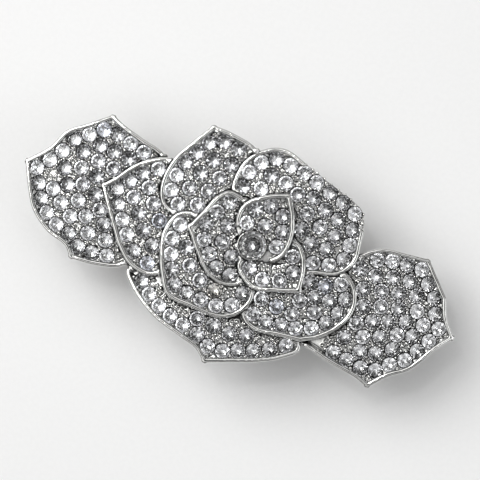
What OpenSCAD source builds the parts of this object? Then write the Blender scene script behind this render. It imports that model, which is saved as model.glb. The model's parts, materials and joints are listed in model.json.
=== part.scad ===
// Rhinestone hair clip: a rose of overlapping pave petals between two leaves,
// carried by a French barrette clasp. The ornament faces +Z and the clip lies
// on the flat of its clasp arm, at Z = 0. +X runs along the clip.

/* [Ornament] */
// Length over the tips of the two leaves
clip_length = 84; // [70:1:100]
// Width across the rose
clip_width = 41; // [36:1:50]
// Thickness of the cast metal under the stones
shell_t = 1.6; // [1.4:0.1:2]
// Height of a petal's rim over its floor
rim_height = 0.65; // [0.4:0.05:0.9]
// Width of the crest of a petal's rim
rim_width = 0.5; // [0.4:0.05:0.7]

/* [Stones] */
// Diameter of a small stone
stone_d = 2.6; // [2.1:0.1:3.2]
// Least metal between two seats
seat_gap = 0.04; // [0.04:0.02:0.8]
// Diameter of the centre stone
centre_d = 4.8; // [4:0.1:6]
// Metal left between a seat and the crest of a rim, and half as much beside a higher petal
seat_wall = 0.15; // [0.1:0.05:0.6]
// Play around a stone's girdle
girdle_play = 0.05; // [0.03:0.01:0.1]

/* [Back plate and bar] */
// Length of the plate that carries the rose
plate_l = 42; // [36:1:46]
// Width of the plate that carries the rose
plate_w = 26; // [20:1:28]
// Thickness of the plate that carries the rose
plate_t = 0.8; // [0.6:0.1:1.2]
// Length of the clasp's base bar
bar_l = 63; // [62:0.5:66]
// Width of the clasp's base bar
bar_w = 8.6; // [8.4:0.1:10]
// Thickness of the clasp's base bar
bar_t = 0.8; // [0.6:0.1:1]
// Height of the bar's underside over the resting face
bar_z = 9.5; // [9:0.1:12]

/* [Clasp] */
// Diameter of the hinge pin
pin_d = 1.6; // [1.2:0.1:1.8]
// Radial play of the arm on the hinge pin
pin_play = 0.05; // [0.03:0.01:0.08]
// Distance of the hinge pin from the middle of the clip
pin_x = 27; // [26:0.5:28]
// Thickness of the hinge ears
ear_t = 0.8; // [0.6:0.1:1]
// Play between the arm and a hinge ear
barrel_play = 0.2; // [0.1:0.05:0.4]
// Thickness of the arm's strip
arm_t = 0.9; // [0.7:0.1:1.1]
// Height that the arm's far end is cranked up by
crank = 2.7; // [2.4:0.1:3]
// Thickness of the bow spring
spring_t = 0.4; // [0.3:0.05:0.5]
// Width of the bow spring
spring_w = 5; // [4:0.1:5.5]
// Depth that the bow spring hangs below the bar
spring_drop = 3.4; // [3:0.1:4]

/* [Latch] */
// Distance of the latch from the middle of the clip
latch_x = 28.5; // [28:0.1:28.8]
// Length of a latch tab along the clip
tab_l = 5; // [4:0.1:5.2]
// Thickness of a latch tab
tab_t = 0.5; // [0.4:0.05:0.6]
// Distance between the outer faces of the two tabs
tab_span = 4.8; // [4.4:0.1:5]
// How far a barb stands out of its tab
barb = 0.6; // [0.5:0.05:0.7]
// Play between a tab and the arm's window
window_play = 0.2; // [0.15:0.05:0.3]

/* [Hidden] */

// The outlines are drawn for a clip of 84 x 41 mm and stretched to the size asked for.
sx = clip_length / 84;
sy = clip_width / 41;
ball_fn = 240;
stone_fn = 36;
round_fn = 48;
span_steps = 4;
eps = 0.01;

plate_z = bar_z + bar_t;
deck_z = plate_z + plate_t;
top_z = deck_z + 12;

// Outline of each casting, in millimetres; a third value of 1 marks a sharp tip.
leaf_left_line = [
    [-18.7, 10.7], [-24, 12.3], [-27.8, 13.2], [-30.4, 14.2, 1], [-34, 11], [-37.2, 8.2],
    [-38.6, 4.6], [-42, 0.5, 1], [-40, -3.2], [-37.3, -7.2], [-33.2, -9.9], [-29.4, -10.9],
    [-27.7, -12.7, 1], [-22.6, -12], [-18, -10], [-14, 0]];
leaf_right_line = [
    [20, 8], [23.6, 10.9], [27.9, 11.7], [32.3, 12.4, 1], [34.4, 10.4], [37.8, 7.2, 1],
    [39.3, 4], [42, 1, 1], [39.8, -2], [38.1, -5.2], [36.6, -7.6], [33.6, -10],
    [30.9, -13.3, 1], [28, -12.4], [24.4, -12], [20.6, -11.4], [14, -9], [13, 0]];
petal_bottom_line = [
    [-17.2, -10], [-15, -13.3], [-9.6, -16.4], [-4, -17.8], [-0.4, -18.7], [1.9, -20.5, 1],
    [6.7, -18.4], [10.3, -16.9], [14.6, -14.4], [17, -11.2], [10, -7], [0, -5], [-10, -6]];
petal_left_line = [
    [-17.6, 10.8], [-20.8, 9.6], [-23.5, 7.2], [-25.6, 4], [-27.5, 1.8, 1], [-25.2, -1.2],
    [-22.4, -4.6], [-20.2, -7.2], [-16.8, -9.6], [-12.4, -9.6], [-8, -4], [-9, 6]];
petal_top_line = [
    [-13, 1.8], [-16.1, 2.9], [-17.6, 6.4], [-17.2, 11.1], [-15.4, 15], [-13, 19.4, 1],
    [-8.9, 19.4], [-4.1, 18.4], [0, 14], [0, 6], [-8, 2]];
petal_right_line = [
    [-5.2, 9.8], [-5.9, 12.6], [-5.2, 16.2], [-2.2, 19.5], [1, 20.5], [5.2, 19.4],
    [11, 17.8], [16.3, 16.4], [18.4, 14.8], [19.8, 9.8], [20.1, 6.6], [18.2, 3.4],
    [14.2, 1.9], [9, 0.5], [2, 6]];
petal_lower_right_line = [
    [5.2, -10.3], [8.3, -11.6], [12.2, -10.9], [16.4, -10.2, 1], [19.6, -8.1], [22.2, -4.8],
    [23.2, -1.4], [22.2, 2], [19.6, 4], [14, 4], [8, 2], [4, -6]];
inner_petal_lower_line = [
    [-9.8, 3.6], [-12.9, 2.3], [-13.9, -1.6], [-12.9, -5.4], [-10.8, -9.4], [-8.6, -11.9],
    [-4.2, -12.2], [1, -12.1], [4, -10.4], [5.6, -7.2], [4.9, -4.5], [0, 0]];
inner_petal_left_line = [
    [-5.2, 9.8], [-7.4, 8], [-8.6, 4.6], [-10.1, 0.9, 1], [-7.1, -2.4], [-4, -5.4],
    [-0.6, -6.4], [2.6, -5], [5, 2], [0, 8]];
inner_petal_right_line = [
    [8.6, 6], [10.5, 4.9], [12.1, 2.2], [12.9, -2.2, 1], [8.8, -3.7], [5, -4.8],
    [2.2, -3.6], [0.6, -1.6], [2, 4]];
centre_petal_line = [
    [-1, 2.8], [-2.6, 5.2], [-2.4, 8.6], [0.6, 11.4], [4.4, 13.3, 1], [6.6, 10],
    [7.9, 6], [7.2, 1.8], [3.5, 0]];

// Low to high: outline, apex x and y, apex height over the deck, ball radius.
CASTINGS = [
    [leaf_left_line, -25, 1, 1.9, 58],
    [leaf_right_line, 25, 0, 1.9, 58],
    [petal_bottom_line, 0, -12, 2.9, 60],
    [petal_left_line, -13, 0.5, 2.9, 60],
    [petal_top_line, -7, 8, 3.3, 58],
    [petal_lower_right_line, 12, -2, 3.2, 55],
    [petal_right_line, 6, 9, 3.9, 50],
    [inner_petal_lower_line, -5, -5, 4.1, 45],
    [inner_petal_left_line, -6, 2, 4.8, 34],
    [inner_petal_right_line, 9, 0, 4.9, 34],
    [centre_petal_line, 3, 9, 5.9, 30]
];

centre_x = 1.7 * sx;
centre_y = 2.2 * sy;
collet_wall = 0.25;
collet_r = centre_d / 2 + collet_wall;
collet_top = deck_z + 6;
// The centre petal has no rim this close to the centre stone.
well_r = centre_d / 2 + 2.3;
well_casting = 10;

// Where the rim of the upper right petal is worn down between its outermost stones.
worn_zone = [for (p = [[5, 21.5], [20.5, 16.5], [19.4, 12.4], [4.4, 17.2]]) [p[0] * sx, p[1] * sy]];
worn_casting = 6;
worn_rim_height = 0.1;

// Smooth closed curve through an outline's points, with its corners kept.
function unit(v) = v / max(norm(v), eps);
function at(line, i) = let(p = line[(i + len(line)) % len(line)]) [p[0] * sx, p[1] * sy];
function tip(line, i) = len(line[(i + len(line)) % len(line)]) == 3;
function slope_out(line, i) =
    tip(line, i) ? unit(at(line, i + 1) - at(line, i)) : unit(at(line, i + 1) - at(line, i - 1));
function slope_in(line, i) =
    tip(line, i) ? unit(at(line, i) - at(line, i - 1)) : unit(at(line, i + 1) - at(line, i - 1));
function hermite(a, b, m, n, t) =
    (2 * t * t * t - 3 * t * t + 1) * a + (t * t * t - 2 * t * t + t) * m
    + (3 * t * t - 2 * t * t * t) * b + (t * t * t - t * t) * n;
function curve(line) = [
    for (i = [0 : len(line) - 1], k = [0 : span_steps - 1])
        let(a = at(line, i), b = at(line, i + 1), reach = norm(b - a))
        hermite(a, b, slope_out(line, i) * reach, slope_in(line, i + 1) * reach, k / span_steps)
];

// Distance from a point to a closed curve, and whether the point lies inside it.
function edge_distance(p, a, b) =
    let(t = max(0, min(1, (p - a) * (b - a) / max((b - a) * (b - a), eps * eps))))
    norm(p - a - t * (b - a));
function distance_to(p, c) =
    min([for (i = [0 : len(c) - 1]) edge_distance(p, c[i], c[(i + 1) % len(c)])]);
function crossings(p, c) = len([
    for (i = [0 : len(c) - 1])
        let(a = c[i], b = c[(i + 1) % len(c)])
        if ((a[1] > p[1]) != (b[1] > p[1])
            && p[0] < a[0] + (p[1] - a[1]) * (b[0] - a[0]) / (b[1] - a[1])) 1
]);
function inside(p, c) = crossings(p, c) % 2 == 1;

// Seats. The first row follows the rim; each further seat lies in the hollow between two
// others, nearest the rim first; a grid then finds any room that is left along the steps.
// Last, the seats push one another apart for a few rounds, which spreads the gaps evenly.
stone_pitch = stone_d + 2 * girdle_play + seat_gap;
rim_margin = rim_width + seat_wall + stone_d / 2 + girdle_play;
step_margin = seat_wall / 2 + stone_d / 2 + girdle_play;
centre_margin = collet_r + step_margin;
row_grid = 0.12;
last_grid = 0.4;

function sum(v) = [for (x = v) 1] * v;
function turn_sign(c) = sign(sum([
    for (i = [0 : len(c) - 1])
        let(a = c[i], b = c[(i + 1) % len(c)]) a[0] * b[1] - b[0] * a[1]
]));
function row_points(c) = [
    for (i = [0 : len(c) - 1])
        let(a = c[i], b = c[(i + 1) % len(c)], d = unit(b - a), steps = ceil(norm(b - a) / row_grid))
        for (k = [0 : steps - 1])
            a + (b - a) * (k / steps) + turn_sign(c) * rim_margin * [-d[1], d[0]]
];
function grid_points(c) =
    let(xs = [for (p = c) p[0]], ys = [for (p = c) p[1]])
    [for (x = [min(xs) : last_grid : max(xs)], y = [min(ys) : last_grid : max(ys)]) [x, y]];
function is_far(p, taken) = len([for (q = taken) if (norm(p - q) < stone_pitch - eps) 1]) == 0;
function near_higher(p, higher) =
    len([for (c = higher) if (distance_to(p, c) < step_margin || inside(p, c)) 1]) > 0;
function margin_at(p) = inside(p, worn_zone) ? step_margin : rim_margin;
function is_seat(p, c, higher) =
    norm(p - [centre_x, centre_y]) > centre_margin && inside(p, c)
    && distance_to(p, c) > margin_at(p) - eps && !near_higher(p, higher);
function pick(from, c, higher, taken, i = 0) =
    i >= len(from) ? taken
    : pick(from, c, higher,
        is_far(from[i], taken) && is_seat(from[i], c, higher) ? concat(taken, [from[i]]) : taken,
        i + 1);
// The two places that touch both stones p and q at the least pitch.
function hollows(p, q) =
    let(d = q - p, half = norm(d) / 2, rise = sqrt(max(0, stone_pitch * stone_pitch - half * half)))
    [for (side = [-1, 1]) p + d / 2 + side * rise * unit([-d[1], d[0]])];
function hollows_round(p, others, c, higher) = [
    for (q = others)
        if (norm(p - q) > eps && norm(p - q) < 2 * stone_pitch)
            for (h = hollows(p, q))
                if (is_far(h, others) && is_seat(h, c, higher)) [h[0], h[1], distance_to(h, c)]
];
function nearest_rim(places) =
    let(least = min([for (p = places) p[2]])) [for (p = places) if (p[2] <= least) p][0];
function fill(taken, places, c, higher) =
    len(places) == 0 ? taken
    : let(n = nearest_rim(places), p = [n[0], n[1]], more = concat(taken, [p]))
        fill(more, concat(
            [for (q = places) if (norm([q[0], q[1]] - p) >= stone_pitch - eps) q],
            hollows_round(p, more, c, higher)), c, higher);
function higher_curves(n) = [
    for (j = [n + 1 : 1 : len(CASTINGS) - 1]) curve(CASTINGS[j][0])
];
spread_reach = 1.25 * stone_pitch;
spread_rate = 0.3;
spread_rounds = 10;
function without(list, i) = [for (k = [0 : len(list) - 1]) if (k != i) list[k]];
function swapped(list, i, p) = [for (k = [0 : len(list) - 1]) k == i ? p : list[k]];
function push_on(p, others) = spread_rate * sum(concat([[0, 0]], [
    for (q = others)
        let(d = norm(p - q)) if (d < spread_reach) (spread_reach - d) * unit(p - q)
]));
function first_free(tries, others, c, higher, i = 0) =
    i == len(tries) - 1 ? tries[i]
    : is_far(tries[i], others) && is_seat(tries[i], c, higher) ? tries[i]
    : first_free(tries, others, c, higher, i + 1);
function moved(p, others, c, higher) =
    let(push = push_on(p, others))
    first_free([p + push, p + [push[0], 0], p + [0, push[1]], p + push / 4, p], others, c, higher);
function spread(list, c, higher, i = 0) =
    i >= spread_rounds * len(list) ? list
    : let(k = i % len(list))
        spread(swapped(list, k, moved(list[k], without(list, k), c, higher)), c, higher, i + 1);
function seats(n) =
    let(
        c = curve(CASTINGS[n][0]),
        higher = higher_curves(n),
        row = pick(row_points(c), c, higher, []),
        places = [for (p = row) each hollows_round(p, row, c, higher)],
        filled = pick(grid_points(c), c, higher, fill(row, places, c, higher))
    )
    spread(pick(grid_points(c), c, higher, spread(filled, c, higher)), c, higher);

// The ball whose surface is a casting's floor.
function ball_centre(n) =
    let(c = CASTINGS[n]) [c[1] * sx, c[2] * sy, deck_z + c[3] - c[4]];

module ball(n, grow) {
    // The poles are turned out of the surface that is used.
    translate(ball_centre(n)) rotate([90, 0, 0]) sphere(r = CASTINGS[n][4] + grow, $fn = ball_fn);
}

// Puts its children on the floor of casting n, upright to the surface.
module on_floor(n, p) {
    c = ball_centre(n);
    r = CASTINGS[n][4];
    h = sqrt(r * r - pow(p[0] - c[0], 2) - pow(p[1] - c[1], 2));
    tilt = acos(h / r);
    turn = atan2(p[1] - c[1], p[0] - c[0]);
    translate([p[0], p[1], c[2] + h]) rotate([0, 0, turn]) rotate([0, tilt, 0]) children();
}

// A chaton: table, crown, girdle and pointed pavilion, girdle at height 0.
stone_sink = 0.12;
function pavilion(d) = 0.42 * d;
module chaton(d) {
    crown = 0.16 * d;
    girdle = 0.04 * d;
    table_r = 0.28 * d;
    rotate_extrude($fn = stone_fn) polygon([
        [0, -pavilion(d)], [d / 2, 0], [d / 2, girdle], [table_r, girdle + crown],
        [0, girdle + crown]]);
}
// The seat has the stone's own cone below the girdle and is open above it.
seat_open_h = 3;
module seat_cut(d) {
    open_r = d / 2 + girdle_play;
    rotate_extrude($fn = stone_fn) polygon([
        [0, -pavilion(d)], [d / 2, 0], [open_r, 0], [open_r, seat_open_h], [0, seat_open_h]]);
}

module outline(n) { polygon(curve(CASTINGS[n][0])); }
module region(n) {
    difference() {
        outline(n);
        for (j = [n + 1 : 1 : len(CASTINGS) - 1]) outline(j);
        translate([centre_x, centre_y]) circle(r = collet_r, $fn = round_fn);
    }
}
module plate_outline() {
    square([plate_l - plate_w, plate_w], center = true);
    for (side = [-1, 1]) translate([side * (plate_l - plate_w) / 2, 0]) circle(d = plate_w, $fn = 96);
}

// What stands above casting n's floor within the outline given by the children.
module above_floor(n, grow) {
    difference() {
        translate([0, 0, bar_z]) linear_extrude(top_z) children();
        ball(n, grow);
    }
}

// Tongues of the leaves, which lie on the base bar.
tongue_in = plate_l / 2 + 0.5;
tongue_out = bar_l / 2 + 1.5;
module tongue_outline(side) {
    translate([side > 0 ? tongue_in : -tongue_out, -bar_w / 2])
        square([tongue_out - tongue_in, bar_w]);
}
module casting(n) {
    difference() {
        intersection() {
            translate([0, 0, bar_z - 4]) linear_extrude(top_z) region(n);
            ball(n, rim_height);
        }
        above_floor(n, rim_height / 2) offset(delta = -rim_width) outline(n);
        above_floor(n, 0) offset(delta = -2 * rim_width) outline(n);
        if (n == well_casting) {
            above_floor(n, 0) translate([centre_x, centre_y]) circle(r = well_r, $fn = 96);
        }
        if (n == worn_casting) above_floor(n, worn_rim_height) polygon(worn_zone);
        difference() {
            ball(n, -shell_t);
            translate([0, 0, deck_z]) linear_extrude(top_z) plate_outline();
        }
        linear_extrude(deck_z) plate_outline();
        linear_extrude(deck_z) tongue_outline(-1);
        linear_extrude(deck_z) tongue_outline(1);
        seat_cuts(n);
    }
}
module seat_cuts(n) {
    for (p = seats(n)) on_floor(n, p) translate([0, 0, -stone_sink]) seat_cut(stone_d);
}
// A leaf's foot runs this far up into the shell. Where the leaf is low, seats are cut in it too.
foot_lap = 0.1;
module leaf_foot(n, side) {
    difference() {
        union() {
            translate([0, 0, plate_z]) linear_extrude(plate_t) tongue_outline(side);
            intersection() {
                translate([0, 0, plate_z]) linear_extrude(top_z) intersection() {
                    region(n);
                    tongue_outline(side);
                }
                ball(n, foot_lap - shell_t);
            }
        }
        seat_cuts(n);
    }
}
module stones(n) {
    color("aliceblue")
        for (p = seats(n)) on_floor(n, p) translate([0, 0, -stone_sink]) chaton(stone_d);
}

module leaf_left() {
    color("gainsboro") union() {
        casting(0);
        leaf_foot(0, -1);
    }
}
module leaf_right() {
    color("gainsboro") union() {
        casting(1);
        leaf_foot(1, 1);
    }
}
module petal_bottom() { color("silver") casting(2); }
module petal_left() { color("lightgrey") casting(3); }
module petal_top() { color("silver") casting(4); }
module petal_lower_right() { color("gainsboro") casting(5); }
module petal_right() { color("lightgrey") casting(6); }
module inner_petal_lower() { color("silver") casting(7); }
module inner_petal_left() { color("gainsboro") casting(8); }
module inner_petal_right() { color("lightgrey") casting(9); }
module centre_petal() { color("silver") casting(10); }

// Centre setting: a cup with four claws round the centre stone.
centre_z = collet_top - 0.5;
claw_r = 0.45;
claw_h = 1.85;
claw_low = collet_top - 1.4;
module centre_setting() {
    color("silver") difference() {
        union() {
            translate([centre_x, centre_y, deck_z])
                cylinder(r = collet_r, h = collet_top - deck_z, $fn = round_fn);
            for (i = [0 : 3]) {
                translate([centre_x, centre_y, claw_low]) rotate([0, 0, 45 + 90 * i])
                    translate([collet_r - claw_r, 0, 0]) cylinder(r = claw_r, h = claw_h, $fn = 32);
            }
        }
        translate([centre_x, centre_y, centre_z]) seat_cut(centre_d);
    }
}
module centre_stone() {
    color("aliceblue") translate([centre_x, centre_y, centre_z]) chaton(centre_d);
}

// Rivets: a shank, a countersunk end flush with the piece above, a domed head below.
mount_x = 16;
mount_shank_r = 1;
mount_head_r = 1.8;
latch_shank_r = 0.7;
latch_head_r = 1.2;
sink_depth = 0.5;
module rivet_solid(shank_r, head_r, z_low, z_high) {
    rotate_extrude($fn = round_fn) polygon([
        [0, z_low - 0.6], [head_r * 0.6, z_low - 0.6], [head_r, z_low - 0.25], [head_r, z_low],
        [shank_r, z_low], [shank_r, z_high - sink_depth], [shank_r + sink_depth, z_high],
        [0, z_high]]);
}
module rivet_hole(shank_r, z_low, z_high) {
    rotate_extrude($fn = round_fn) polygon([
        [0, z_low - 1], [shank_r, z_low - 1], [shank_r, z_high - sink_depth],
        [shank_r + sink_depth, z_high], [shank_r + sink_depth, z_high + 1], [0, z_high + 1]]);
}
module at_mounts() {
    for (side = [-1, 1]) translate([side * mount_x, 0, 0]) children();
}

module rose_plate() {
    color("darkgrey") difference() {
        translate([0, 0, plate_z]) linear_extrude(plate_t) plate_outline();
        at_mounts() rivet_hole(mount_shank_r, bar_z, deck_z);
    }
}
module mount_rivets() {
    color("grey") at_mounts() rivet_solid(mount_shank_r, mount_head_r, bar_z, deck_z);
}

// Bow spring: an arc that hangs below the bar, its ends hooked in the bar's slots.
spring_end = 25.2;
slot_in = 21.6;
slot_side = 0.2;
spring_low = bar_z - spring_drop;
spring_rise = bar_t * 0.45 + spring_drop - spring_t;
spring_r = (spring_end * spring_end + spring_rise * spring_rise) / (2 * spring_rise);
module bow_spring() {
    color("dimgrey") intersection() {
        translate([0, 0, spring_low + spring_t + spring_r]) rotate([90, 0, 0])
            difference() {
                cylinder(r = spring_r + spring_t, h = spring_w, center = true, $fn = ball_fn);
                cylinder(r = spring_r, h = spring_w + 2, center = true, $fn = ball_fn);
            }
        translate([-spring_end, -spring_w, spring_low - 1])
            cube([2 * spring_end, 2 * spring_w, spring_drop + bar_t + 1]);
    }
}

// Base bar with its two hinge ears, bent down from its edges.
pin_boss_wall = 1.1;
pin_z = pin_d / 2 + pin_boss_wall + 0.2;
ear_r = pin_d / 2 + pin_boss_wall;
ear_top_w = 6;
module ear_profile() {
    difference() {
        union() {
            circle(r = ear_r, $fn = round_fn);
            polygon([
                [-ear_r, 0], [ear_r, 0], [ear_top_w / 2, bar_z - pin_z + eps],
                [-ear_top_w / 2, bar_z - pin_z + eps]]);
        }
        circle(d = pin_d, $fn = round_fn);
    }
}
module base_bar() {
    color("darkgrey") union() {
        difference() {
            translate([-bar_l / 2, -bar_w / 2, bar_z]) cube([bar_l, bar_w, bar_t]);
            for (side = [-1, 1]) {
                translate([side > 0 ? slot_in : -spring_end, -spring_w / 2 - slot_side, bar_z - 1])
                    cube([spring_end - slot_in, spring_w + 2 * slot_side, bar_t + 2]);
            }
            at_mounts() rivet_hole(mount_shank_r, bar_z, deck_z);
            translate([latch_x, 0, 0]) rivet_hole(latch_shank_r, bar_z, plate_z);
        }
        for (side = [-1, 1]) {
            translate([-pin_x, side * (bar_w - ear_t) / 2, pin_z]) rotate([90, 0, 0])
                linear_extrude(ear_t, center = true) ear_profile();
        }
    }
}
pin_head_t = 0.5;
pin_head_r = pin_d / 2 + 0.5;
module hinge_pin() {
    color("grey") translate([-pin_x, 0, pin_z]) rotate([90, 0, 0]) union() {
        cylinder(d = pin_d, h = bar_w, center = true, $fn = round_fn);
        for (side = [-1, 1]) {
            translate([0, 0, side * (bar_w + pin_head_t) / 2])
                cylinder(r = pin_head_r, h = pin_head_t, center = true, $fn = round_fn);
        }
    }
}

// Clasp arm: barrel, flat strip, crank and the window frame that the tabs pass through.
barrel_wall = 0.9;
barrel_r = pin_d / 2 + barrel_wall;
arm_w = bar_w - 2 * ear_t - 2 * barrel_play;
tab_out = tab_span / 2;
window_l = tab_l + 1.2;
window_w = tab_span + 2 * window_play;
frame_wall = 1.5;
frame_in = latch_x - window_l / 2 - frame_wall;
frame_out = latch_x + window_l / 2 + frame_wall;
crank_run = 2.6;
crank_x = frame_in - crank_run;
lip = 0.8;
module arm_profile() {
    polygon([
        [-pin_x, 0], [crank_x, 0], [frame_in, crank], [frame_out, crank],
        [frame_out + lip, crank - lip], [frame_out + lip + arm_t / 2, crank - lip + arm_t / 2],
        [frame_out + lip / 2, crank + arm_t], [frame_in - arm_t / 2, crank + arm_t],
        [crank_x - arm_t / 2, arm_t], [-pin_x, arm_t]]);
}
module clasp_arm() {
    color("silver") difference() {
        union() {
            rotate([90, 0, 0]) linear_extrude(arm_w, center = true) arm_profile();
            translate([-pin_x, 0, pin_z]) rotate([90, 0, 0])
                cylinder(r = barrel_r, h = arm_w, center = true, $fn = round_fn);
            translate([frame_in, -window_w / 2 - frame_wall, crank])
                cube([frame_out - frame_in, window_w + 2 * frame_wall, arm_t]);
        }
        translate([-pin_x, 0, pin_z]) rotate([90, 0, 0])
            cylinder(r = pin_d / 2 + pin_play, h = bar_w + 2, center = true, $fn = round_fn);
        translate([latch_x - window_l / 2, -window_w / 2, -1])
            cube([window_l, window_w, crank + arm_t + 2]);
    }
}

// Latch: a riveted plate and two tabs that hang from its edges and pinch together.
latch_plate_t = 0.6;
tab_play = 0.05;
root_r = tab_t / 2;
root_y = tab_out - root_r;
root_z = bar_z - root_r - 0.15;
barb_top = crank - 0.3;
barb_h = 0.8;
tab_low = 0.6;
module latch_plate() {
    half_w = root_y - root_r - tab_play;
    color("silver") difference() {
        translate([latch_x - tab_l / 2, -half_w, bar_z - latch_plate_t])
            cube([tab_l, 2 * half_w, latch_plate_t]);
        translate([latch_x, 0, bar_z - 2])
            cylinder(r = latch_shank_r, h = 4, $fn = round_fn);
    }
}
module latch_rivet() {
    color("grey") translate([latch_x, 0, 0])
        rotate_extrude($fn = round_fn) polygon([
            [0, bar_z - latch_plate_t - 0.5], [latch_head_r * 0.6, bar_z - latch_plate_t - 0.5],
            [latch_head_r, bar_z - latch_plate_t - 0.2], [latch_head_r, bar_z - latch_plate_t],
            [latch_shank_r, bar_z - latch_plate_t], [latch_shank_r, plate_z - sink_depth],
            [latch_shank_r + sink_depth, plate_z], [0, plate_z]]);
}
module tab(side) {
    scale([1, side, 1]) union() {
        translate([latch_x, root_y, root_z]) rotate([0, 90, 0])
            cylinder(r = root_r, h = tab_l, center = true, $fn = 32);
        translate([latch_x - tab_l / 2, tab_out - tab_t, tab_low])
            cube([tab_l, tab_t, root_z - tab_low]);
        translate([latch_x, 0, 0]) rotate([90, 0, 90]) linear_extrude(tab_l, center = true)
            polygon([
                [tab_out - eps, barb_top], [tab_out + barb, barb_top],
                [tab_out + barb, barb_top - 0.2], [tab_out - eps, barb_top - barb_h]]);
    }
}
module latch_tab_front() { color("lightgrey") tab(-1); }
module latch_tab_back() { color("lightgrey") tab(1); }

module stones_leaf_left() { stones(0); }
module stones_leaf_right() { stones(1); }
module stones_petal_bottom() { stones(2); }
module stones_petal_left() { stones(3); }
module stones_petal_top() { stones(4); }
module stones_petal_lower_right() { stones(5); }
module stones_petal_right() { stones(6); }
module stones_inner_petal_lower() { stones(7); }
module stones_inner_petal_left() { stones(8); }
module stones_inner_petal_right() { stones(9); }
module stones_centre_petal() { stones(10); }

leaf_left();
leaf_right();
petal_bottom();
petal_left();
petal_top();
petal_lower_right();
petal_right();
inner_petal_lower();
inner_petal_left();
inner_petal_right();
centre_petal();
stones_leaf_left();
stones_leaf_right();
stones_petal_bottom();
stones_petal_left();
stones_petal_top();
stones_petal_lower_right();
stones_petal_right();
stones_inner_petal_lower();
stones_inner_petal_left();
stones_inner_petal_right();
stones_centre_petal();
centre_setting();
centre_stone();
rose_plate();
base_bar();
mount_rivets();
bow_spring();
hinge_pin();
clasp_arm();
latch_plate();
latch_rivet();
latch_tab_front();
latch_tab_back();
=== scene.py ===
"""Rose hair clip: plated castings set with cut stones, on a sprung steel barrette clasp."""
import json
import math
import random

import bmesh
import bpy
from bpy.props import FloatProperty, FloatVectorProperty, IntProperty, PointerProperty
from mathutils import Matrix, Vector
from mathutils.bvhtree import BVHTree
from mathutils.kdtree import KDTree


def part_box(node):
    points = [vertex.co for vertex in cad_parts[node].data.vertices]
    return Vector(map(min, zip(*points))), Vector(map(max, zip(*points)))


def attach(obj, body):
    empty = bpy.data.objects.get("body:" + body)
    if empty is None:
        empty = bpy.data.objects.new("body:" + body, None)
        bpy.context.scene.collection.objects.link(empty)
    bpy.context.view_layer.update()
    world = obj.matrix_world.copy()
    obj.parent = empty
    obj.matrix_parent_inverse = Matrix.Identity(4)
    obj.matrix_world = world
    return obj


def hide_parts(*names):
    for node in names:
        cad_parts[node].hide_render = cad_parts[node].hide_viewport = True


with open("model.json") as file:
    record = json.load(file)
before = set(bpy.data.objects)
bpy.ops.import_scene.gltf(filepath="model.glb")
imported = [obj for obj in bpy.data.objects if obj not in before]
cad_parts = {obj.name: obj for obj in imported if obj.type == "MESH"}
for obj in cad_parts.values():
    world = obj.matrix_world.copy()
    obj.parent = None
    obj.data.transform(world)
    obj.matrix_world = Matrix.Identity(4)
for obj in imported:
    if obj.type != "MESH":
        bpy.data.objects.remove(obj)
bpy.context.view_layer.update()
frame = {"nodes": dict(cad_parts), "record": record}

bl_info = {
    "name": "Rhinestone Hair Clip",
    "version": (1, 0, 0),
    "blender": (4, 5, 0),
    "location": "View3D > Sidebar > Hair Clip",
    "description": "Builds the visible pieces of a rose hair clip and its studio",
    "category": "Object",
}

MM = 0.001

CASTING_NAMES = (
    "leaf_left", "leaf_right", "petal_bottom", "petal_left", "petal_top",
    "petal_lower_right", "petal_right", "inner_petal_lower", "inner_petal_left",
    "inner_petal_right", "centre_petal",
)


def linear(hex_colour):
    """Turns an sRGB hex colour into linear red, green and blue."""
    channels = [int(hex_colour[i:i + 2], 16) / 255 for i in (0, 2, 4)]
    return tuple(
        c / 12.92 if c <= 0.04045 else ((c + 0.055) / 1.055) ** 2.4 for c in channels)


def rgba(colour):
    """Gives a three-part colour an alpha of one."""
    return (colour[0], colour[1], colour[2], 1.0)


# ---------------------------------------------------------------- settings

class CLIP_PG_metal(bpy.types.PropertyGroup):
    """Sizes and colours of the plated castings."""

    plate_colour: FloatVectorProperty(
        name="Plating colour", description="Bright rhodium plating on the crests",
        subtype="COLOR", size=3, min=0, max=1, default=linear("e4e4e2"))
    # Painted shade: the near-black colour that ambient occlusion mixes into the plating in
    # the hollows between the stones and rims.
    crevice_colour: FloatVectorProperty(
        name="Crevice colour", description="Dulled plating and grime between the stones",
        subtype="COLOR", size=3, min=0, max=1, default=linear("1f1f20"))
    grain: FloatProperty(
        name="Remelt grain",
        description="Cell size of the mesh that joins floor, rim and beads",
        subtype="DISTANCE", unit="LENGTH", default=0.13 * MM, min=0.1 * MM, max=0.4 * MM)
    softening: IntProperty(
        name="Softening", description="Rounds of smoothing that polish the cast edges",
        default=5, min=0, max=20)
    bead_radius: FloatProperty(
        name="Bead radius", description="Radius of the beads raised between the stones",
        subtype="DISTANCE", unit="LENGTH", default=0.33 * MM, min=0.2 * MM, max=0.6 * MM)
    roll_radius: FloatProperty(
        name="Rim roll", description="Radius of the half-round roll along a petal's rim",
        subtype="DISTANCE", unit="LENGTH", default=0.45 * MM, min=0.2 * MM, max=0.6 * MM)


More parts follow.
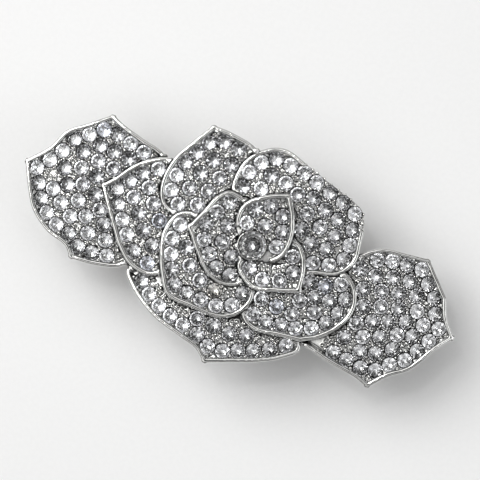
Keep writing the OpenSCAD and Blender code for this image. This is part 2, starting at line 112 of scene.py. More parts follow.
class CLIP_PG_stones(bpy.types.PropertyGroup):
    """Cut and colour of the clear stones."""

    glass_colour: FloatVectorProperty(
        name="Glass colour", description="Clear lead glass",
        subtype="COLOR", size=3, min=0, max=1, default=linear("feffff"))
    # Cool and warm flash: tints painted into the glass of a few stones, standing in for the
    # coloured fire of dispersion.
    cool_flash: FloatVectorProperty(
        name="Cool flash", description="Tint of the few stones that flash blue",
        subtype="COLOR", size=3, min=0, max=1, default=linear("f6f9ff"))
    warm_flash: FloatVectorProperty(
        name="Warm flash", description="Tint of the few stones that flash straw yellow",
        subtype="COLOR", size=3, min=0, max=1, default=linear("fffdf5"))
    facets: IntProperty(
        name="Facets", description="Crown facets round a small stone's table",
        default=8, min=6, max=12)
    centre_facets: IntProperty(
        name="Centre facets", description="Crown facets round the centre stone's table",
        default=12, min=8, max=16)
    tilt: FloatProperty(
        name="Tilt", description="Most that a stone leans in its seat",
        subtype="ANGLE", default=math.radians(3.5), min=0, max=math.radians(6))


class CLIP_PG_studio(bpy.types.PropertyGroup):
    """Table, lights and camera."""

    table_colour: FloatVectorProperty(
        name="Table colour", description="Matt pale sheet that the clip lies on",
        subtype="COLOR", size=3, min=0, max=1, default=linear("f0f0f0"))
    wall_colour: FloatVectorProperty(
        name="Wall colour", description="Pale wall behind the table",
        subtype="COLOR", size=3, min=0, max=1, default=linear("ececec"))
    view_width: FloatProperty(
        name="View width", description="Width that the camera sees at the clip",
        subtype="DISTANCE", unit="LENGTH", default=86.4 * MM, min=0.05, max=0.3)
    clip_turn: FloatProperty(
        name="Clip turn", description="How far the clip's length is turned in the view",
        subtype="ANGLE", default=math.radians(23))
    key_power: FloatProperty(
        name="Key power", description="Power of the large soft light at the upper left",
        subtype="POWER", unit="POWER", default=2.0, min=0)


# ---------------------------------------------------------------- mesh helpers

WELD_DISTANCE = 0.002 * MM
POLISH_FACTOR = 0.5
AXIS_ROUNDS = 4  # times that a stone's axis is worked out again from its girdle
GIRDLE_EDGE = 0.97  # share of a stone's reach from which a point counts as on its girdle


def mesh_object(name, bm, *materials):
    """Makes a mesh object at the origin from a bmesh and frees the bmesh."""
    mesh = bpy.data.meshes.new(name)
    bm.to_mesh(mesh)
    bm.free()
    piece = bpy.data.objects.new(name, mesh)
    bpy.context.scene.collection.objects.link(piece)
    for material in materials:
        mesh.materials.append(material)
    return piece


def merged_copy(node):
    """Copies a CAD node's mesh into a bmesh and joins its loose triangles."""
    bm = bmesh.new()
    bm.from_mesh(frame["nodes"][node].data)
    bmesh.ops.remove_doubles(bm, verts=bm.verts, dist=WELD_DISTANCE)
    return bm


def pattern_mesh(maker, **settings):
    """Makes a small mesh with one bmesh operator, to be stamped many times."""
    bm = bmesh.new()
    maker(bm, **settings)
    mesh = bpy.data.meshes.new("pattern")
    bm.to_mesh(mesh)
    bm.free()
    return mesh


def stamp(bm, pattern, place):
    """Adds a placed copy of a pattern mesh to a bmesh."""
    copy = pattern.copy()
    copy.transform(place)
    bm.from_mesh(copy)
    bpy.data.meshes.remove(copy)


def islands(bm):
    """Splits a bmesh's vertices into connected groups."""
    seen = set()
    groups = []
    for start in bm.verts:
        if start in seen:
            continue
        seen.add(start)
        group = [start]
        for vert in group:
            for edge in vert.link_edges:
                other = edge.other_vert(vert)
                if other not in seen:
                    seen.add(other)
                    group.append(other)
        groups.append(group)
    return groups


def remelt(piece, grain, softening):
    """Joins all that a piece holds into one skin and rounds its edges as polishing does."""
    melt = piece.modifiers.new("melt", "REMESH")
    melt.mode = "VOXEL"
    melt.voxel_size = grain
    melt.use_smooth_shade = True
    polish = piece.modifiers.new("polish", "SMOOTH")
    polish.factor = POLISH_FACTOR
    polish.iterations = softening
    shape = piece.evaluated_get(bpy.context.evaluated_depsgraph_get())
    old = piece.data
    materials = list(old.materials)
    piece.data = bpy.data.meshes.new_from_object(shape)
    piece.modifiers.clear()
    bpy.data.meshes.remove(old)
    piece.data.materials.clear()
    for material in materials:
        piece.data.materials.append(material)
    piece.data.shade_smooth()


def stone_seats(node):
    """Finds each stone of a CAD node: girdle centre, upward axis and girdle radius."""
    bm = merged_copy(node)
    seats = []
    for group in islands(bm):
        points = [v.co.copy() for v in group]
        culet = min(points, key=lambda p: p.z)
        middle = sum(points, Vector()) / len(points)
        axis = (middle - culet).normalized()
        for _ in range(AXIS_ROUNDS):
            reach = max((p - culet).cross(axis).length for p in points)
            least = GIRDLE_EDGE * reach
            girdle = [p for p in points if (p - culet).cross(axis).length > least]
            centre = sum(girdle, Vector()) / len(girdle)
            axis = (centre - culet).normalized()
        seats.append((centre, axis, reach))
    bm.free()
    return sorted(seats, key=lambda seat: (round(seat[0].x, 6), round(seat[0].y, 6)))


# ---------------------------------------------------------------- materials

# Each stone draws a number from 0 to 1: the lowest flash blue, the highest straw yellow, by
# a tint painted into the glass for dispersion's coloured fire.
COOL_UP_TO = 0.03
WARM_FROM = 0.98
FIBRE_SHADE = 0.985  # brightness of the board between its fibres, as a share of its own


def add_node(tree, kind, sockets=None, links=None, **settings):
    """Adds a node, sets its properties and input values, and links its inputs."""
    node = tree.nodes.new(kind)
    for key, value in settings.items():
        setattr(node, key, value)
    for key, value in (sockets or {}).items():
        node.inputs[key].default_value = value
    for key, source in (links or {}).items():
        tree.links.new(source, node.inputs[key])
    return node


def per_metre(size_mm):
    """Scale of a pattern whose cells are this many millimetres across."""
    return 1000 / size_mm


def finish_of(maker):
    """Gives the material that carries its maker's name, and makes it the first time."""
    return bpy.data.materials.get(maker.__name__) or maker()


def new_material(name):
    """Makes an empty node material and returns it with its tree and surface socket."""
    material = bpy.data.materials.new(name)
    material.use_nodes = True
    tree = material.node_tree
    tree.nodes.clear()
    output = tree.nodes.new("ShaderNodeOutputMaterial")
    return material, tree, output.inputs["Surface"]


def ramp_between(tree, source, low, high, low_at, high_at):
    """Colour that runs from low to high as the source value rises."""
    ramp = add_node(tree, "ShaderNodeValToRGB", links={"Fac": source})
    ramp.color_ramp.elements[0].position = low_at
    ramp.color_ramp.elements[0].color = rgba(low)
    ramp.color_ramp.elements[1].position = high_at
    ramp.color_ramp.elements[1].color = rgba(high)
    return ramp.outputs["Color"]


def stretched_noise(tree, cell_mm, detail):
    """Noise whose cells have the given size in millimetres along X, Y and Z."""
    place = add_node(tree, "ShaderNodeTexCoord").outputs["Object"]
    stretch = add_node(
        tree, "ShaderNodeMapping", {"Scale": tuple(per_metre(c) for c in cell_mm)},
        {"Vector": place})
    return add_node(
        tree, "ShaderNodeTexNoise", {"Scale": 1.0, "Detail": detail, "Roughness": 0.6},
        {"Vector": stretch.outputs["Vector"]}).outputs["Fac"]


def map_value(tree, source, low, high, low_at=0.0, high_at=1.0):
    """Maps a value onto a new range, and clamps it there."""
    return add_node(
        tree, "ShaderNodeMapRange",
        {"From Min": low_at, "From Max": high_at, "To Min": low, "To Max": high},
        {"Value": source}, clamp=True).outputs["Result"]


def rhodium_plated_cast_alloy():
    """Tin-alloy casting, barrel polished and rhodium plated: bright, slightly wavy crests;
    in the hollows between the stones, where polish never reached, rougher plating and
    shade painted into the colour, nearly black."""
    # Dullness comes in blotches of 1.1 mm, the buffing wheel leaves a ripple of 0.9 mm, and
    # the casting's pits are 0.16 mm apart.
    metal = bpy.context.scene.clip_metal
    material, tree, surface = new_material("rhodium_plated_cast_alloy")
    # Painted shade: ambient occlusion within 0.9 mm, times random blotches of dullness,
    # darkens the colour towards the painted crevice shade and makes the plating rougher
    # there.
    open_sky = add_node(
        tree, "ShaderNodeAmbientOcclusion", {"Distance": 0.9 * MM}, samples=4).outputs["AO"]
    blotch = stretched_noise(tree, (1.1, 1.1, 1.1), 3.0)
    painted_shade_and_dullness = add_node(
        tree, "ShaderNodeMath", links={0: open_sky, 1: map_value(tree, blotch, 0.85, 1.15)},
        operation="MULTIPLY").outputs["Value"]
    colour = ramp_between(tree, painted_shade_and_dullness, metal.crevice_colour, metal.plate_colour, 0.58, 1.0)
    roughness = map_value(tree, painted_shade_and_dullness, 0.3, 0.1, 0.2, 0.9)
    ripple = stretched_noise(tree, (0.9, 0.9, 0.9), 2.0)
    pits = stretched_noise(tree, (0.16, 0.16, 0.16), 2.0)
    soft = add_node(
        tree, "ShaderNodeBump", {"Strength": 0.25, "Distance": 0.05 * MM},
        {"Height": ripple}).outputs["Normal"]
    fine = add_node(
        tree, "ShaderNodeBump", {"Strength": 0.12, "Distance": 0.02 * MM},
        {"Height": pits, "Normal": soft}).outputs["Normal"]
    shader = add_node(
        tree, "ShaderNodeBsdfPrincipled", {"Metallic": 1.0},
        {"Base Color": colour, "Roughness": roughness, "Normal": fine})
    tree.links.new(shader.outputs["BSDF"], surface)
    return material


def lead_crystal_machine_cut():
    """Machine-cut lead glass: clear, hard-edged flashes; the blue or straw of a few stones
    is painted dispersion fire, a tint in their glass.
    """
    stones = bpy.context.scene.clip_stones
    material, tree, surface = new_material("lead_crystal_machine_cut")
    flash = add_node(
        tree, "ShaderNodeAttribute", attribute_type="GEOMETRY", attribute_name="flash")
    ramp = add_node(tree, "ShaderNodeValToRGB", links={"Fac": flash.outputs["Fac"]})
    ramp.color_ramp.interpolation = "CONSTANT"
    ramp.color_ramp.elements[0].color = rgba(stones.cool_flash)
    ramp.color_ramp.elements[1].position = WARM_FROM
    ramp.color_ramp.elements[1].color = rgba(stones.warm_flash)
    clear = ramp.color_ramp.elements.new(COOL_UP_TO)
    clear.color = rgba(stones.glass_colour)
    shader = add_node(
        tree, "ShaderNodeBsdfPrincipled",
        {"Transmission Weight": 1.0, "IOR": 1.58, "Roughness": 0.0},
        {"Base Color": ramp.outputs["Color"]})
    tree.links.new(shader.outputs["BSDF"], surface)
    return material


def silvered_foil_back():
    """Vacuum-silvered foil under a stone: mirrors light back up, a little clouded."""
    # The silvering clouds in patches of 0.5 mm.
    material, tree, surface = new_material("silvered_foil_back")
    cloud = stretched_noise(tree, (0.5, 0.5, 0.5), 2.0)
    colour = ramp_between(tree, cloud, linear("e2e2e5"), linear("fdfdfe"), 0.3, 0.55)
    shader = add_node(
        tree, "ShaderNodeBsdfPrincipled", {"Metallic": 1.0},
        {"Base Color": colour, "Roughness": map_value(tree, cloud, 0.14, 0.03)})
    tree.links.new(shader.outputs["BSDF"], surface)
    return material


def nickel_plated_brushed_steel():
    """Stamped steel, linished along its length and nickel plated: fine long streaks,
    a warm grey satin sheen and a few brighter rubbed patches."""
    # Real linishing lines are finer; these are 0.12 mm wide, as coarse as they need to be
    # to show. The rubbed patches are 3 to 5 mm.
    material, tree, surface = new_material("nickel_plated_brushed_steel")
    streaks = stretched_noise(tree, (6.0, 0.12, 0.12), 4.0)
    rubs = stretched_noise(tree, (5.0, 3.0, 3.0), 3.0)
    colour = ramp_between(tree, rubs, linear("b9b7b3"), linear("dedcd8"), 0.35, 0.7)
    roughness = add_node(
        tree, "ShaderNodeMath",
        links={0: map_value(tree, streaks, 0.2, 0.36, 0.3, 0.7),
               1: map_value(tree, rubs, -0.04, 0.06, 0.3, 0.7)},
        operation="ADD").outputs["Value"]
    lines = add_node(
        tree, "ShaderNodeBump", {"Strength": 0.3, "Distance": 0.01 * MM},
        {"Height": streaks}).outputs["Normal"]
    shader = add_node(
        tree, "ShaderNodeBsdfPrincipled", {"Metallic": 1.0, "Anisotropic": 0.4},
        {"Base Color": colour, "Roughness": roughness, "Normal": lines})
    tree.links.new(shader.outputs["BSDF"], surface)
    return material


def tempered_spring_steel():
    """Blue-tempered strip steel: dark grey with faint straw and blue bands along it."""
    # The temper's bands are 9 mm long; the rolling streaks are drawn 0.1 mm wide to show.
    material, tree, surface = new_material("tempered_spring_steel")
    bands = stretched_noise(tree, (9.0, 4.0, 4.0), 2.0)
    streaks = stretched_noise(tree, (5.0, 0.1, 0.1), 3.0)
    colour = ramp_between(tree, bands, linear("6f7887"), linear("8f8a80"), 0.35, 0.65)
    lines = add_node(
        tree, "ShaderNodeBump", {"Strength": 0.25, "Distance": 0.01 * MM},
        {"Height": streaks}).outputs["Normal"]
    shader = add_node(
        tree, "ShaderNodeBsdfPrincipled", {"Metallic": 1.0},
        {"Base Color": colour, "Roughness": map_value(tree, streaks, 0.24, 0.4, 0.3, 0.7),
         "Normal": lines})
    tree.links.new(shader.outputs["BSDF"], surface)
    return material


def cold_headed_rivet_steel():
    """Cold-headed rivet wire: bright satin with the dimpled skin that the header leaves."""
    # The header's dimples are 0.3 mm apart.
    material, tree, surface = new_material("cold_headed_rivet_steel")
    dimples = stretched_noise(tree, (0.3, 0.3, 0.3), 3.0)
    colour = ramp_between(tree, dimples, linear("a6a4a1"), linear("cfcdca"), 0.3, 0.7)
    skin = add_node(
        tree, "ShaderNodeBump", {"Strength": 0.3, "Distance": 0.02 * MM},
        {"Height": dimples}).outputs["Normal"]
    shader = add_node(
        tree, "ShaderNodeBsdfPrincipled", {"Metallic": 1.0},
        {"Base Color": colour, "Roughness": map_value(tree, dimples, 0.22, 0.38),
         "Normal": skin})
    tree.links.new(shader.outputs["BSDF"], surface)
    return material


def uncoated_white_board():
    """Uncoated white board: flat and pale, with a faint fibre grain."""
    # Fibres are finer; their 0.8 mm clumps are what shows.
    material, tree, surface = new_material("uncoated_white_board")
    fibre = stretched_noise(tree, (0.8, 0.8, 0.8), 4.0)
    base = bpy.context.scene.clip_studio.table_colour
    shade = tuple(FIBRE_SHADE * c for c in base)
    colour = ramp_between(tree, fibre, shade, base, 0.4, 0.6)
    shader = add_node(
        tree, "ShaderNodeBsdfPrincipled", {"Roughness": 0.9, "Specular IOR Level": 0.2},
        {"Base Color": colour})
    tree.links.new(shader.outputs["BSDF"], surface)
    return material


# ---------------------------------------------------------------- pieces

# Beads between the stones
BEAD_STEP = 0.22 * MM  # spacing of the places that are tried
BEAD_SPACING = 0.68 * MM  # least distance between two beads
BEAD_CLEARANCE = 0.2 * MM  # least distance from a bead's middle to a girdle
BEAD_RANGE = 4.2  # most distance from a girdle, in bead radii
NEIGHBOUR_RANGE = 4.2 * MM  # a bead has a second stone at least this near
BEAD_SIZES = (0.82, 1.08)  # least and most of the set radius
BEAD_RISE = 0.35  # share of its radius that a bead's middle stands over the floor
FLOOR_FACING = 0.75  # least upward part of a floor's normal
FLOOR_TOLERANCE = 0.22 * MM  # most that a floor is off the plane of the nearest girdle

# Rolled rims
WALL_FACING = 0.3  # most upward part of an outer wall's normal
CREST_FACING = 0.8  # least upward part of a crest's normal
CREST_HEIGHT = 0.5 * MM  # least height of a crest over the nearest girdle
ROLL_INSET = 0.34 * MM  # from the rim's outer edge in to the roll's middle
ROLL_SINK = 0.14 * MM  # from the crest down to the roll's middle
ROLL_SIDES = 12

# Grooves round the stones: how far past the girdle metal is sunk, down to what depth
# below it, and from what height over it
GROOVE_REACH = 0.16 * MM
GROOVE_DEPTH = 0.3 * MM
GROOVE_TOP = 0.35 * MM

# Cut of the stones, for a girdle of diameter one
GIRDLE_SHARE = 0.04
PAVILION_SHARE = 0.38
STAR_RADIUS = 0.41
STAR_HEIGHT = 0.55  # share of the crown's height
FLAT_ANGLE = math.radians(1.0)  # facets that differ by less are one facet
FOIL_FACING = -0.2  # facets that look further down than this are silvered
# Table width, crown height, radius and drop of the pavilion's ring, whether the ring is
# turned by half a facet, and whether the crown has star facets. The first cut is there
# twice, so that it is as common as the other two together.
SMALL_CUTS = (
    (0.6, 0.12, 0.22, 0.025, 1, False), (0.6, 0.12, 0.22, 0.025, 1, False),
    (0.56, 0.17, 0.25, 0.03, 0, False), (0.56, 0.17, 0.25, 0.03, 1, True))
CENTRE_CUT = (0.7, 0.14, 0.35, 0.03, 0, True)
STONE_LIFT = 0.1 * MM  # height of a cut stone over its CAD stone
STONE_SWELL = 1.03  # its width against the CAD stone's

# The large bead beside the centre setting: its radius, and its place in from the left of
# the setting's box, to the near side of its middle and below its top
ACCENT_RADIUS = 0.55 * MM
ACCENT_IN = 0.25 * MM
ACCENT_SIDE = 1.1 * MM
ACCENT_DROP = 0.9 * MM
SETTING_GRAIN = 0.09 * MM

# Remelt grain of the clasp's pieces in millimetres, and rounds of smoothing
STEEL_GRAIN = {
    "rose_plate": 0.25, "base_bar": 0.17, "clasp_arm": 0.15, "latch_plate": 0.08,
    "latch_tab_front": 0.07, "latch_tab_back": 0.07,
}
SPRING_GRAIN = 0.11
RIVET_GRAIN = {"mount_rivets": 0.07, "hinge_pin": 0.07, "latch_rivet": 0.07}
STEEL_SOFTENING = 3
RIVET_SOFTENING = 4

BEAD_SEED = 11
STONE_SEED = 7
CENTRE_SEED = 3


def body_of_node(node):
    """Name of the CAD body that a node belongs to."""
    bodies = frame["record"]["behaviour"]["bodies"]
    return next(body for body, nodes in bodies.items() if node in nodes)


def stand_for(piece, node):
    """Puts a finished piece in a CAD node's place."""
    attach(piece, body_of_node(node))
    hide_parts(node)


def bead_places(surface, seats, low, high, radius):
    """Finds the gaps between stones where the floor has room for a bead."""
    down = Vector((0, 0, -1))
    places = []
    rows = int((high.y - low.y) / BEAD_STEP)
    columns = int((high.x - low.x) / BEAD_STEP)
    for row in range(rows):
        for column in range(columns):
            x = low.x + (column + 0.5 * (row % 2)) * BEAD_STEP
            y = low.y + row * BEAD_STEP
            near = sorted(
                (math.hypot(seat[0].x - x, seat[0].y - y), index)
                for index, seat in enumerate(seats))
            gap = near[0][0] - seats[near[0][1]][2]
            if (gap < BEAD_CLEARANCE or gap > BEAD_RANGE * radius
                    or near[1][0] > NEIGHBOUR_RANGE):
                continue
            hit, normal, _, _ = surface.ray_cast(Vector((x, y, high.z + MM)), down)
            if hit is None or normal.z < FLOOR_FACING:
                continue
            centre, axis, _ = seats[near[0][1]]
            lean = (x - centre.x) * axis.x + (y - centre.y) * axis.y
            floor_z = centre.z - lean / axis.z
            if abs(hit.z - floor_z) < FLOOR_TOLERANCE:
                places.append((round(gap / BEAD_STEP), x, y, hit, normal))
    places.sort(key=lambda place: place[:3])
    chosen = []
    for _, _, _, hit, normal in places:
        if all((hit - other).length > BEAD_SPACING for other, _ in chosen):
            chosen.append((hit, normal))
    return chosen


def seat_finder(seats):
    """Search tree over the stones' centres."""
    finder = KDTree(len(seats))
    for index, (centre, _, _) in enumerate(seats):
        finder.insert(centre, index)
    finder.balance()
    return finder


def roll_rim(bm, seats, radius):
    """Lays a round roll along the outer edge of the rim's crest, half sunk in it."""
    finder = seat_finder(seats)
    bm.normal_update()
    runs = []
    for edge in bm.edges:
        if len(edge.link_faces) != 2:
            continue
        wall, crest = sorted(edge.link_faces, key=lambda face: face.normal.z)
        middle = (edge.verts[0].co + edge.verts[1].co) / 2
        centre, axis, _ = seats[finder.find(middle)[1]]
        if (abs(wall.normal.z) < WALL_FACING and crest.normal.z > CREST_FACING
                and (middle - centre).dot(axis) > CREST_HEIGHT
                and wall.normal.dot(middle - centre) > 0):
            shift = wall.normal * -ROLL_INSET - axis * ROLL_SINK
            runs.append((edge.verts[0].co + shift, edge.verts[1].co + shift))
    rod = pattern_mesh(
        bmesh.ops.create_cone, cap_ends=True, segments=ROLL_SIDES, radius1=radius,
        radius2=radius, depth=1.0)
    knob = pattern_mesh(bmesh.ops.create_icosphere, subdivisions=2, radius=radius)
    for start, end in runs:
        along = end - start
        turn = along.to_track_quat("Z", "Y").to_matrix().to_4x4()
        length = Matrix.Diagonal((1.0, 1.0, along.length, 1.0))
        stamp(bm, rod, Matrix.Translation((start + end) / 2) @ turn @ length)
        stamp(bm, knob, Matrix.Translation(start))
        stamp(bm, knob, Matrix.Translation(end))


def groove_round(piece, seats):
    """Sinks the thin walls that the remelt leaves against the stones' girdles."""
    finder = seat_finder(seats)
    for vert in piece.data.vertices:
        _, index, distance = finder.find(vert.co)
        centre, axis, radius = seats[index]
        if distance > radius + 2 * GROOVE_REACH:
            continue
        offset = vert.co - centre
        height = offset.dot(axis)
        gap = (offset - axis * height).length - radius
        if gap < GROOVE_REACH and -GROOVE_DEPTH < height < GROOVE_TOP:
            share = min(1.0, 1.0 - gap / GROOVE_REACH)
            vert.co -= axis * (height + GROOVE_DEPTH) * share


class CLIP_OT_castings(bpy.types.Operator):
    """Build the leaves and petals, with rolled rims and beads between their stones"""

    bl_idname = "clip.castings"
    bl_label = "Leaves and petals"

    def execute(self, context):
        metal = context.scene.clip_metal
        finish = finish_of(rhodium_plated_cast_alloy)
        chance = random.Random(BEAD_SEED)
        bead = pattern_mesh(bmesh.ops.create_icosphere, subdivisions=2, radius=1.0)
        for name in CASTING_NAMES:
            bm = merged_copy(name)
            surface = BVHTree.FromBMesh(bm)
            low, high = (Vector(corner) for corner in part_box(name))
            seats = stone_seats("stones_" + name)
            for place, normal in bead_places(surface, seats, low, high, metal.bead_radius):
                radius = metal.bead_radius * chance.uniform(*BEAD_SIZES)
                size = Matrix.Diagonal((radius, radius, radius, 1.0))
                middle = place + normal * radius * BEAD_RISE
                stamp(bm, bead, Matrix.Translation(middle) @ size)
            roll_rim(bm, seats, metal.roll_radius)
            piece = mesh_object("cast_" + name, bm, finish)
            remelt(piece, metal.grain, metal.softening)
            groove_round(piece, seats)
            stand_for(piece, name)
        return {"FINISHED"}


def cut_stone(facets, cut):
    """Cuts one stone of diameter one: table, crown, girdle and a pavilion in two steps."""
    table, crown, ring, ring_drop, ring_turn, stars = cut
    bm = bmesh.new()
    half = GIRDLE_SHARE / 2
    step = math.pi / facets
    heights = [(table / 2, half + crown, step, facets)]
    if stars:
        heights.append((STAR_RADIUS, half + STAR_HEIGHT * crown, 0.0, facets))
    heights += [(0.5, half, 0.0, 2 * facets), (0.5, -half, 0.0, 2 * facets)]
    cone = -half - PAVILION_SHARE * (1 - 2 * ring)
    heights.append((ring, cone - ring_drop, ring_turn * step, facets))
    for radius, height, turn, segments in heights:
        bmesh.ops.create_circle(
            bm, segments=segments, radius=radius,
            matrix=Matrix.Translation((0, 0, height)) @ Matrix.Rotation(turn, 4, "Z"))
    bmesh.ops.create_vert(bm, co=(0, 0, -half - PAVILION_SHARE))
    bmesh.ops.convex_hull(bm, input=bm.verts[:])
    bmesh.ops.dissolve_limit(
        bm, angle_limit=FLAT_ANGLE, verts=bm.verts[:], edges=bm.edges[:])
    bmesh.ops.recalc_face_normals(bm, faces=bm.faces[:])
    for face in bm.faces:
        face.material_index = 1 if face.normal.z < FOIL_FACING else 0
    mesh = bpy.data.meshes.new("cut_stone")
    bm.to_mesh(mesh)
    bm.free()
    return mesh


def set_stones(node, patterns, chance, tilt):
    """Sets a copy of one of the cut stones in each seat of a CAD node, in one mesh."""
    bm = bmesh.new()
    flash_layer = bm.verts.layers.float.new("flash")
    for centre, axis, radius in stone_seats(node):
        before = len(bm.verts)
        bm.from_mesh(chance.choice(patterns))
        bm.verts.ensure_lookup_table()
        stone = bm.verts[before:]
        lean = axis.copy()
        lean.rotate(Matrix.Rotation(chance.uniform(0, tilt), 3, Vector((1, 0, 0))))
        lean.rotate(Matrix.Rotation(chance.uniform(-tilt, tilt), 3, Vector((0, 1, 0))))
        upright = lean.to_track_quat("Z", "Y").to_matrix().to_4x4()
        spin = Matrix.Rotation(chance.uniform(0, math.tau), 4, "Z")
        width = 2 * radius * STONE_SWELL
        place = Matrix.Translation(centre + axis * STONE_LIFT)
        bmesh.ops.transform(
            bm, matrix=place @ upright @ spin @ Matrix.Diagonal((width, width, width, 1)),
            verts=stone)
        # Picks the stone's painted dispersion tint, if any, against COOL_UP_TO and
        # WARM_FROM.
        flash = chance.random()
        for vert in stone:
            vert[flash_layer] = flash
    return bm


class CLIP_OT_stones(bpy.types.Operator):
    """Set the small faceted stones of every leaf and petal"""

    bl_idname = "clip.stones"
    bl_label = "Small stones"

    def execute(self, context):
        stones = context.scene.clip_stones
        glass = finish_of(lead_crystal_machine_cut)
        foil = finish_of(silvered_foil_back)
        patterns = [cut_stone(stones.facets, cut) for cut in SMALL_CUTS]
        chance = random.Random(STONE_SEED)
        for name in CASTING_NAMES:
            node = "stones_" + name
            bm = set_stones(node, patterns, chance, stones.tilt)
            piece = mesh_object("pave_" + name, bm, glass, foil)
            stand_for(piece, node)
        return {"FINISHED"}


class CLIP_OT_centre(bpy.types.Operator):
    """Build the claw setting and the large centre stone"""

    bl_idname = "clip.centre"
    bl_label = "Centre setting and stone"

    def execute(self, context):
        metal = context.scene.clip_metal
        stones = context.scene.clip_stones
        bm = merged_copy("centre_setting")
        low, high = (Vector(corner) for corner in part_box("centre_setting"))
        middle = (low + high) / 2
        accent = Vector((low.x + ACCENT_IN, middle.y - ACCENT_SIDE, high.z - ACCENT_DROP))
        bmesh.ops.create_icosphere(
            bm, subdivisions=3, radius=ACCENT_RADIUS, matrix=Matrix.Translation(accent))
        setting = mesh_object("claw_setting", bm, finish_of(rhodium_plated_cast_alloy))
        remelt(setting, SETTING_GRAIN, metal.softening)
        stand_for(setting, "centre_setting")
        pattern = cut_stone(stones.centre_facets, CENTRE_CUT)
        bm = set_stones(
            "centre_stone", [pattern], random.Random(CENTRE_SEED), stones.tilt)
        stone = mesh_object(
            "cut_centre_stone", bm, finish_of(lead_crystal_machine_cut),
            finish_of(silvered_foil_back))
        stand_for(stone, "centre_stone")
        return {"FINISHED"}


class CLIP_OT_clasp(bpy.types.Operator):
    """Round the stamped edges of the plate, bar, arm, spring and latch"""

    bl_idname = "clip.clasp"
    bl_label = "Clasp steel"

    def execute(self, context):
        steel = finish_of(nickel_plated_brushed_steel)
        for node, grain in STEEL_GRAIN.items():
            piece = mesh_object("stamped_" + node, merged_copy(node), steel)
            remelt(piece, grain * MM, STEEL_SOFTENING)
            stand_for(piece, node)
        spring = mesh_object(
            "tempered_bow_spring", merged_copy("bow_spring"),
            finish_of(tempered_spring_steel))
        remelt(spring, SPRING_GRAIN * MM, STEEL_SOFTENING)
        stand_for(spring, "bow_spring")
        return {"FINISHED"}


class CLIP_OT_rivets(bpy.types.Operator):
    """Round the heads of the rivets and the hinge pin"""

    bl_idname = "clip.rivets"
    bl_label = "Rivets and pin"

    def execute(self, context):
        wire = finish_of(cold_headed_rivet_steel)
        for node, grain in RIVET_GRAIN.items():
            piece = mesh_object("headed_" + node, merged_copy(node), wire)
            remelt(piece, grain * MM, RIVET_SOFTENING)
            stand_for(piece, node)
        return {"FINISHED"}


# ---------------------------------------------------------------- studio

LENS = 135.0
SENSOR = 36.0
NEAR_CLIP = 0.01  # metres, as the table's reach and the lights' places are
FOCUS_HEIGHT = 13 * MM
FRAME_CENTRE = Vector((-0.6 * MM, 2.3 * MM, FOCUS_HEIGHT))
TABLE_REACH = 1.5

# Each square light: its name, how far it stands to the right of, above and over the clip
# in the view, its width, its share of the key's power, and its colour.
LIGHTS = (
    ("key", (-0.34, 0.3, 0.42), 0.4, 1.0, (1.0, 0.995, 0.985)),
    ("fill", (0.45, -0.15, 0.3), 0.35, 0.2, (0.97, 0.985, 1.0)),
    ("sparkle", (-0.12, 0.2, 0.6), 0.04, 0.1, (1.0, 1.0, 1.0)),
)

# Brightness of the studio by the height it is seen at: 0 is level, 1 is straight up.
SKY_HEIGHTS = (
    (0.15, 0.07), (0.45, 0.1), (0.64, 1.3), (0.935, 1.3), (0.962, 0.2), (0.98, 0.03))
# Its brightness from the side away from the key light to the side of the key light.
SKY_KEY = (-0.8, 0.55, 0.35)
SKY_FAR = (0.38, 0.38, 0.38)
SKY_NEAR = (1.4, 1.4, 1.39)
SKY_TURN = (-0.1, 0.9)  # where between those two sides the brightness rises


def softbox(name, place, size, power, colour):
    """Adds a square light that faces the clip."""
    light = bpy.data.lights.new(name, "AREA")
    light.shape = "SQUARE"
    light.size = size
    light.energy = power
    light.color = colour
    lamp = bpy.data.objects.new(name, light)
    lamp.location = place
    lamp.rotation_euler = (FRAME_CENTRE - place).to_track_quat("-Z", "Y").to_euler()
    bpy.context.scene.collection.objects.link(lamp)


def from_view(studio, steps):
    """Place given by metres to the right of, above and over the clip in the view."""
    right, up, height = steps
    turn = Matrix.Rotation(studio.clip_turn, 3, "Z")
    return FRAME_CENTRE + turn @ Vector((right, up, 0)) + Vector((0, 0, height))


def studio_sky(studio):
    """Ring of pale diffusers part way up, brighter on the key light's side. It is dark low
    down and straight above, which draws dark lines beside the bright ones in the metal."""
    world = bpy.data.worlds.new("studio")
    world.use_nodes = True
    tree = world.node_tree
    tree.nodes.clear()
    output = tree.nodes.new("ShaderNodeOutputWorld")
    direction = add_node(tree, "ShaderNodeTexCoord").outputs["Generated"]
    key_side = from_view(studio, SKY_KEY) - FRAME_CENTRE
    facing_key = add_node(
        tree, "ShaderNodeVectorMath", {1: key_side.normalized()}, {0: direction},
        operation="DOT_PRODUCT").outputs["Value"]
    height = add_node(
        tree, "ShaderNodeSeparateXYZ", links={"Vector": direction}).outputs["Z"]
    side = ramp_between(tree, facing_key, SKY_FAR, SKY_NEAR, *SKY_TURN)
    rings = add_node(tree, "ShaderNodeValToRGB", links={"Fac": height})
    for position, level in SKY_HEIGHTS[1:-1]:
        rings.color_ramp.elements.new(position).color = (level, level, level, 1.0)
    for index, (position, level) in ((0, SKY_HEIGHTS[0]), (-1, SKY_HEIGHTS[-1])):
        rings.color_ramp.elements[index].position = position
        rings.color_ramp.elements[index].color = (level, level, level, 1.0)
    sky = add_node(
        tree, "ShaderNodeBackground",
        links={"Color": side, "Strength": rings.outputs["Color"]})
    # What lies straight behind the clip is a pale wall; the metal still mirrors the ring.
    wall = add_node(tree, "ShaderNodeBackground", {"Color": rgba(studio.wall_colour)})
    seen = add_node(tree, "ShaderNodeLightPath").outputs["Is Camera Ray"]
    both = add_node(
        tree, "ShaderNodeMixShader",
        links={0: seen, 1: sky.outputs["Background"], 2: wall.outputs["Background"]})
    tree.links.new(both.outputs["Shader"], output.inputs["Surface"])
    bpy.context.scene.world = world


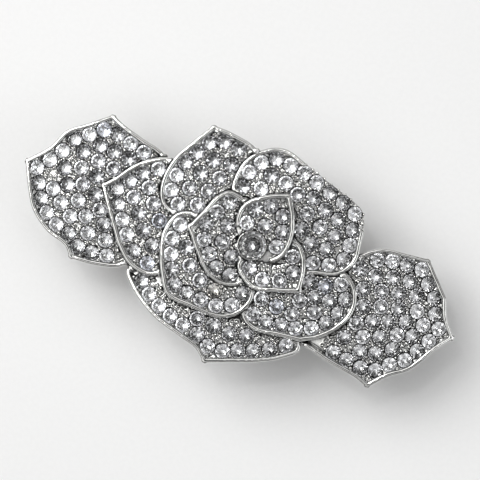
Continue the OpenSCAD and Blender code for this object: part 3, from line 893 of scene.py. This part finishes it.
class CLIP_OT_studio(bpy.types.Operator):
    """Lay the table and set the lights and the camera"""

    bl_idname = "clip.studio"
    bl_label = "Studio"

    def execute(self, context):
        studio = context.scene.clip_studio
        bm = bmesh.new()
        bmesh.ops.create_grid(bm, x_segments=1, y_segments=1, size=TABLE_REACH)
        mesh_object("table", bm, finish_of(uncoated_white_board))
        studio_sky(studio)
        for name, steps, size, share, colour in LIGHTS:
            softbox(name, from_view(studio, steps), size, share * studio.key_power, colour)
        lens = bpy.data.cameras.new("camera")
        lens.lens = LENS
        lens.sensor_width = SENSOR
        lens.clip_start = NEAR_CLIP
        camera = bpy.data.objects.new("camera", lens)
        distance = studio.view_width * LENS / SENSOR
        camera.location = FRAME_CENTRE + Vector((0, 0, distance))
        camera.rotation_euler = (0, 0, studio.clip_turn)
        context.scene.collection.objects.link(camera)
        context.scene.camera = camera
        context.scene.view_settings.view_transform = "Standard"
        return {"FINISHED"}


# ---------------------------------------------------------------- add-on

class CLIP_PT_sidebar(bpy.types.Panel):
    """Sidebar list of the clip's settings and build steps."""

    bl_idname = "CLIP_PT_sidebar"
    bl_label = "Hair Clip"
    bl_space_type = "VIEW_3D"
    bl_region_type = "UI"
    bl_category = "Hair Clip"

    def draw(self, context):
        for group in SETTINGS:
            settings = getattr(context.scene, group)
            box = self.layout.box()
            for name in settings.__annotations__:
                box.prop(settings, name)
        for step in STEPS:
            self.layout.operator(step.bl_idname)


STEPS = (
    CLIP_OT_castings, CLIP_OT_stones, CLIP_OT_centre, CLIP_OT_clasp, CLIP_OT_rivets,
    CLIP_OT_studio)
SETTINGS = {
    "clip_metal": CLIP_PG_metal,
    "clip_stones": CLIP_PG_stones,
    "clip_studio": CLIP_PG_studio,
}


def register():
    """Registers the settings, the build steps and the panel."""
    for name, group in SETTINGS.items():
        bpy.utils.register_class(group)
        setattr(bpy.types.Scene, name, PointerProperty(type=group))
    for item in STEPS + (CLIP_PT_sidebar,):
        bpy.utils.register_class(item)


def unregister():
    """Removes what register added."""
    for item in reversed(STEPS + (CLIP_PT_sidebar,)):
        bpy.utils.unregister_class(item)
    for name, group in SETTINGS.items():
        delattr(bpy.types.Scene, name)
        bpy.utils.unregister_class(group)


def main():
    """Builds every piece in order."""
    register()
    bpy.ops.clip.castings()
    bpy.ops.clip.stones()
    bpy.ops.clip.centre()
    bpy.ops.clip.clasp()
    bpy.ops.clip.rivets()
    bpy.ops.clip.studio()
    bpy.context.view_layer.update()


if __name__ == "__main__":
    main()
